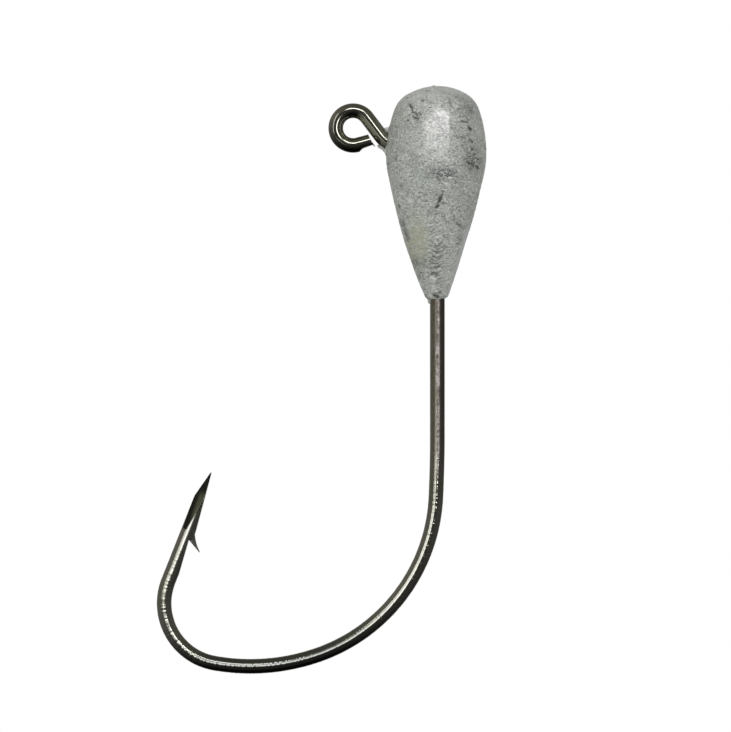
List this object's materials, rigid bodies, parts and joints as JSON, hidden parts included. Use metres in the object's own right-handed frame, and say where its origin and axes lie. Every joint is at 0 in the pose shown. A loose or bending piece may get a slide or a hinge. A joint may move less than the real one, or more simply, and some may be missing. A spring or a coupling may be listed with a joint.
{
  "type": "jig head",
  "caption": "Fishing jig head: a round-nosed lead body tapering to a flat tail, cast on a bent hook whose wire eye stands out at the side and whose wide bend ends in a barbed point.",
  "frame": {"origin": "centre of the line-tie eye, on the plane of the hook", "axes": "+Z along the shank from the bend towards the nose of the head, +X from the point towards the shank, +Y square to the plane of the hook"},
  "size_m": [0.0287, 0.0088, 0.0511],
  "materials": {
    "cast_lead": "satin",
    "black_nickel": "gloss"
  },
  "bodies": {
    "root": {"lead_head": "cast_lead", "jig_hook": "black_nickel"}
  },
  "joints": []
}
